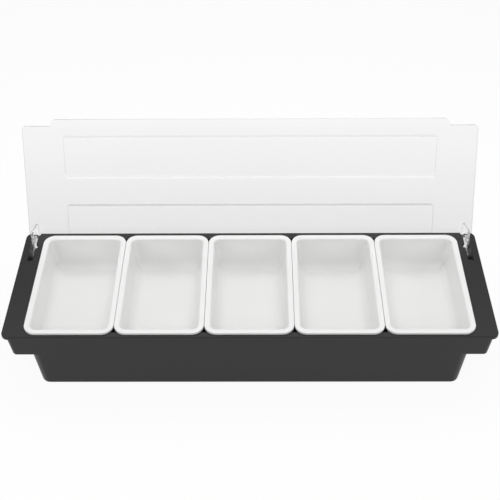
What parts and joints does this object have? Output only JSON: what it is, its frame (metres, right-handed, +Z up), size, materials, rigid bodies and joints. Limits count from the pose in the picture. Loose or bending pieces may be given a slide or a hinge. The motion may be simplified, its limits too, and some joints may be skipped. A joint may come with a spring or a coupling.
{
  "type": "condiment caddy",
  "caption": "Long black tub with white lift-out inserts in a row and one clear full-length lid that flips back on hinge ears",
  "frame": {"origin": "middle of the tub's flat underside, which stands on the table", "axes": "+X to the right along the caddy as seen from the front, +Y to the back where the lid is hinged, +Z up"},
  "size_m": [0.495, 0.219, 0.1892],
  "materials": {
    "tub": "black moulded plastic, satin",
    "lid": "clear moulded plastic, polished",
    "insert": "white moulded plastic, glossy"
  },
  "bodies": {
    "tub": {"tub": "tub"},
    "lid": {"lid": "lid"},
    "insert_1": {"insert_1": "insert"},
    "insert_2": {"insert_2": "insert"},
    "insert_3": {"insert_3": "insert"},
    "insert_4": {"insert_4": "insert"},
    "insert_5": {"insert_5": "insert"}
  },
  "joints": [
    {"name": "lid_hinge", "type": "hinge", "parent": "tub", "child": "lid", "pos_m": [0, 0.0615, 0.0665], "axis": [1, 0, 0], "range_deg": [0, 115.6]},
    {"name": "insert_1_lift", "type": "slide", "parent": "tub", "child": "insert_1", "axis": [0, 0, 1], "range_m": [0, 0.075]},
    {"name": "insert_2_lift", "type": "slide", "parent": "tub", "child": "insert_2", "axis": [0, 0, 1], "range_m": [0, 0.075]},
    {"name": "insert_3_lift", "type": "slide", "parent": "tub", "child": "insert_3", "axis": [0, 0, 1], "range_m": [0, 0.075]},
    {"name": "insert_4_lift", "type": "slide", "parent": "tub", "child": "insert_4", "axis": [0, 0, 1], "range_m": [0, 0.075]},
    {"name": "insert_5_lift", "type": "slide", "parent": "tub", "child": "insert_5", "axis": [0, 0, 1], "range_m": [0, 0.075]}
  ]
}
